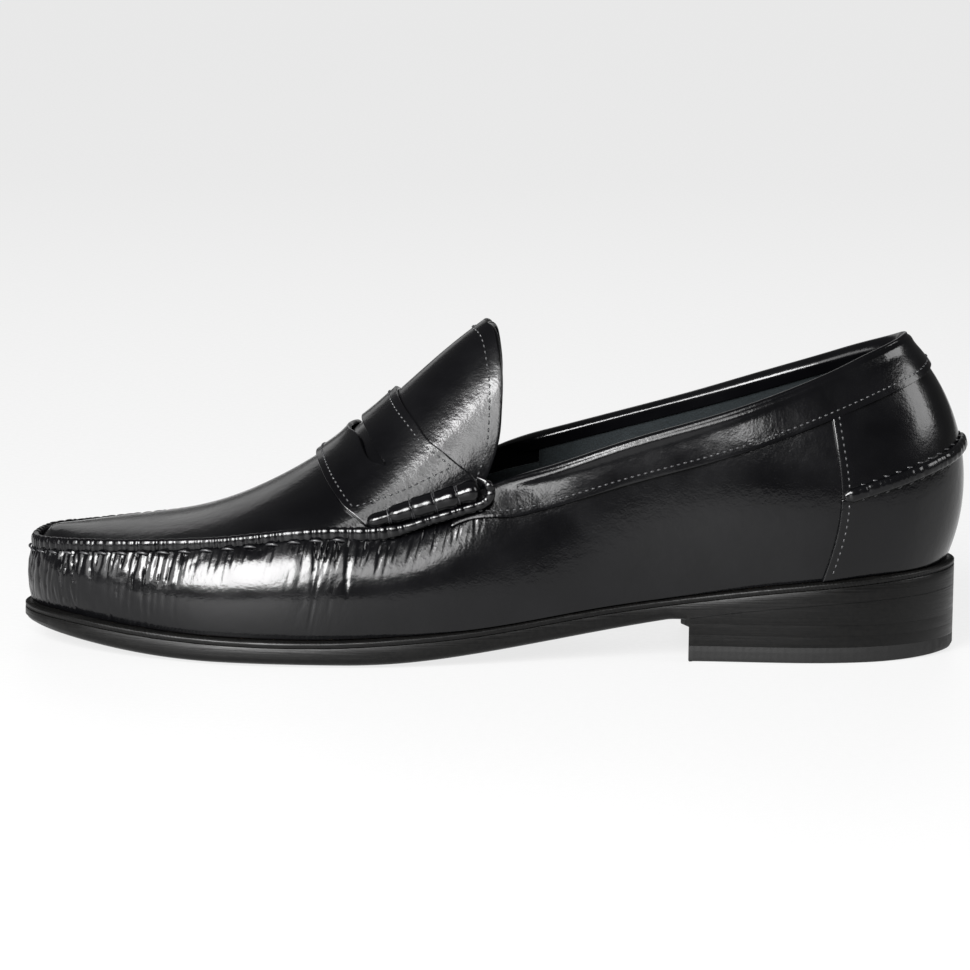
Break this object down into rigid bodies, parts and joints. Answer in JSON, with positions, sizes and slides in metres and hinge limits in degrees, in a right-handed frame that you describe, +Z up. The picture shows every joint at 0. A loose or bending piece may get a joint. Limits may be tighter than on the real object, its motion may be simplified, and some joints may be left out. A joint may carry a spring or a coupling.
{
  "type": "penny loafer",
  "caption": "Slip-on leather shoe with a raised moccasin seam, a slotted saddle strap ending in rolled side knots, a folded collar and a low stacked heel.",
  "frame": {"origin": "on the floor, under the middle of the shoe's length and width", "axes": "toe towards -X, heel towards +X, outer (lateral) side towards -Y, +Z up"},
  "size_m": [0.304, 0.1016, 0.1058],
  "materials": {
    "top_lift": "matt black rubber",
    "heel_stack": "black dressed edge, satin",
    "nails": "bright",
    "outsole": "black dressed edge, satin",
    "welt": "black, wheeled",
    "shank": "dull",
    "cork": "matt ground cork",
    "insole": "undyed",
    "foam": "matt foam",
    "sock": "matt dark",
    "upper_leather": "polished black, high shine",
    "thread": "waxed black",
    "stiffener": "stiffened",
    "lining": "suede side out, dark grey-green"
  },
  "bodies": {
    "root": {"top_lift": "top_lift", "heel_lift_1": "heel_stack", "heel_lift_2": "heel_stack", "heel_wedge": "heel_stack", "heel_nails": "nails", "outsole": "outsole", "welt": "welt", "shank": "shank", "cork_filler": "cork", "insole_board": "insole", "heel_pad": "foam", "sock_liner": "sock", "vamp": "upper_leather", "moc_seam_piping": "upper_leather", "plug": "upper_leather", "saddle_strap": "upper_leather", "collar_band": "upper_leather", "back_panel": "upper_leather", "kicker": "upper_leather", "kicker_piping": "upper_leather", "beefroll_lateral": "upper_leather", "beefroll_medial": "upper_leather", "beefroll_thread_lateral": "thread", "beefroll_thread_medial": "thread", "toe_puff": "stiffener", "heel_counter": "stiffener", "vamp_lining": "lining", "quarter_lining_lateral": "lining", "quarter_lining_medial": "lining", "heel_lining": "lining", "plug_lining": "lining", "tongue_lining": "lining"}
  },
  "joints": []
}
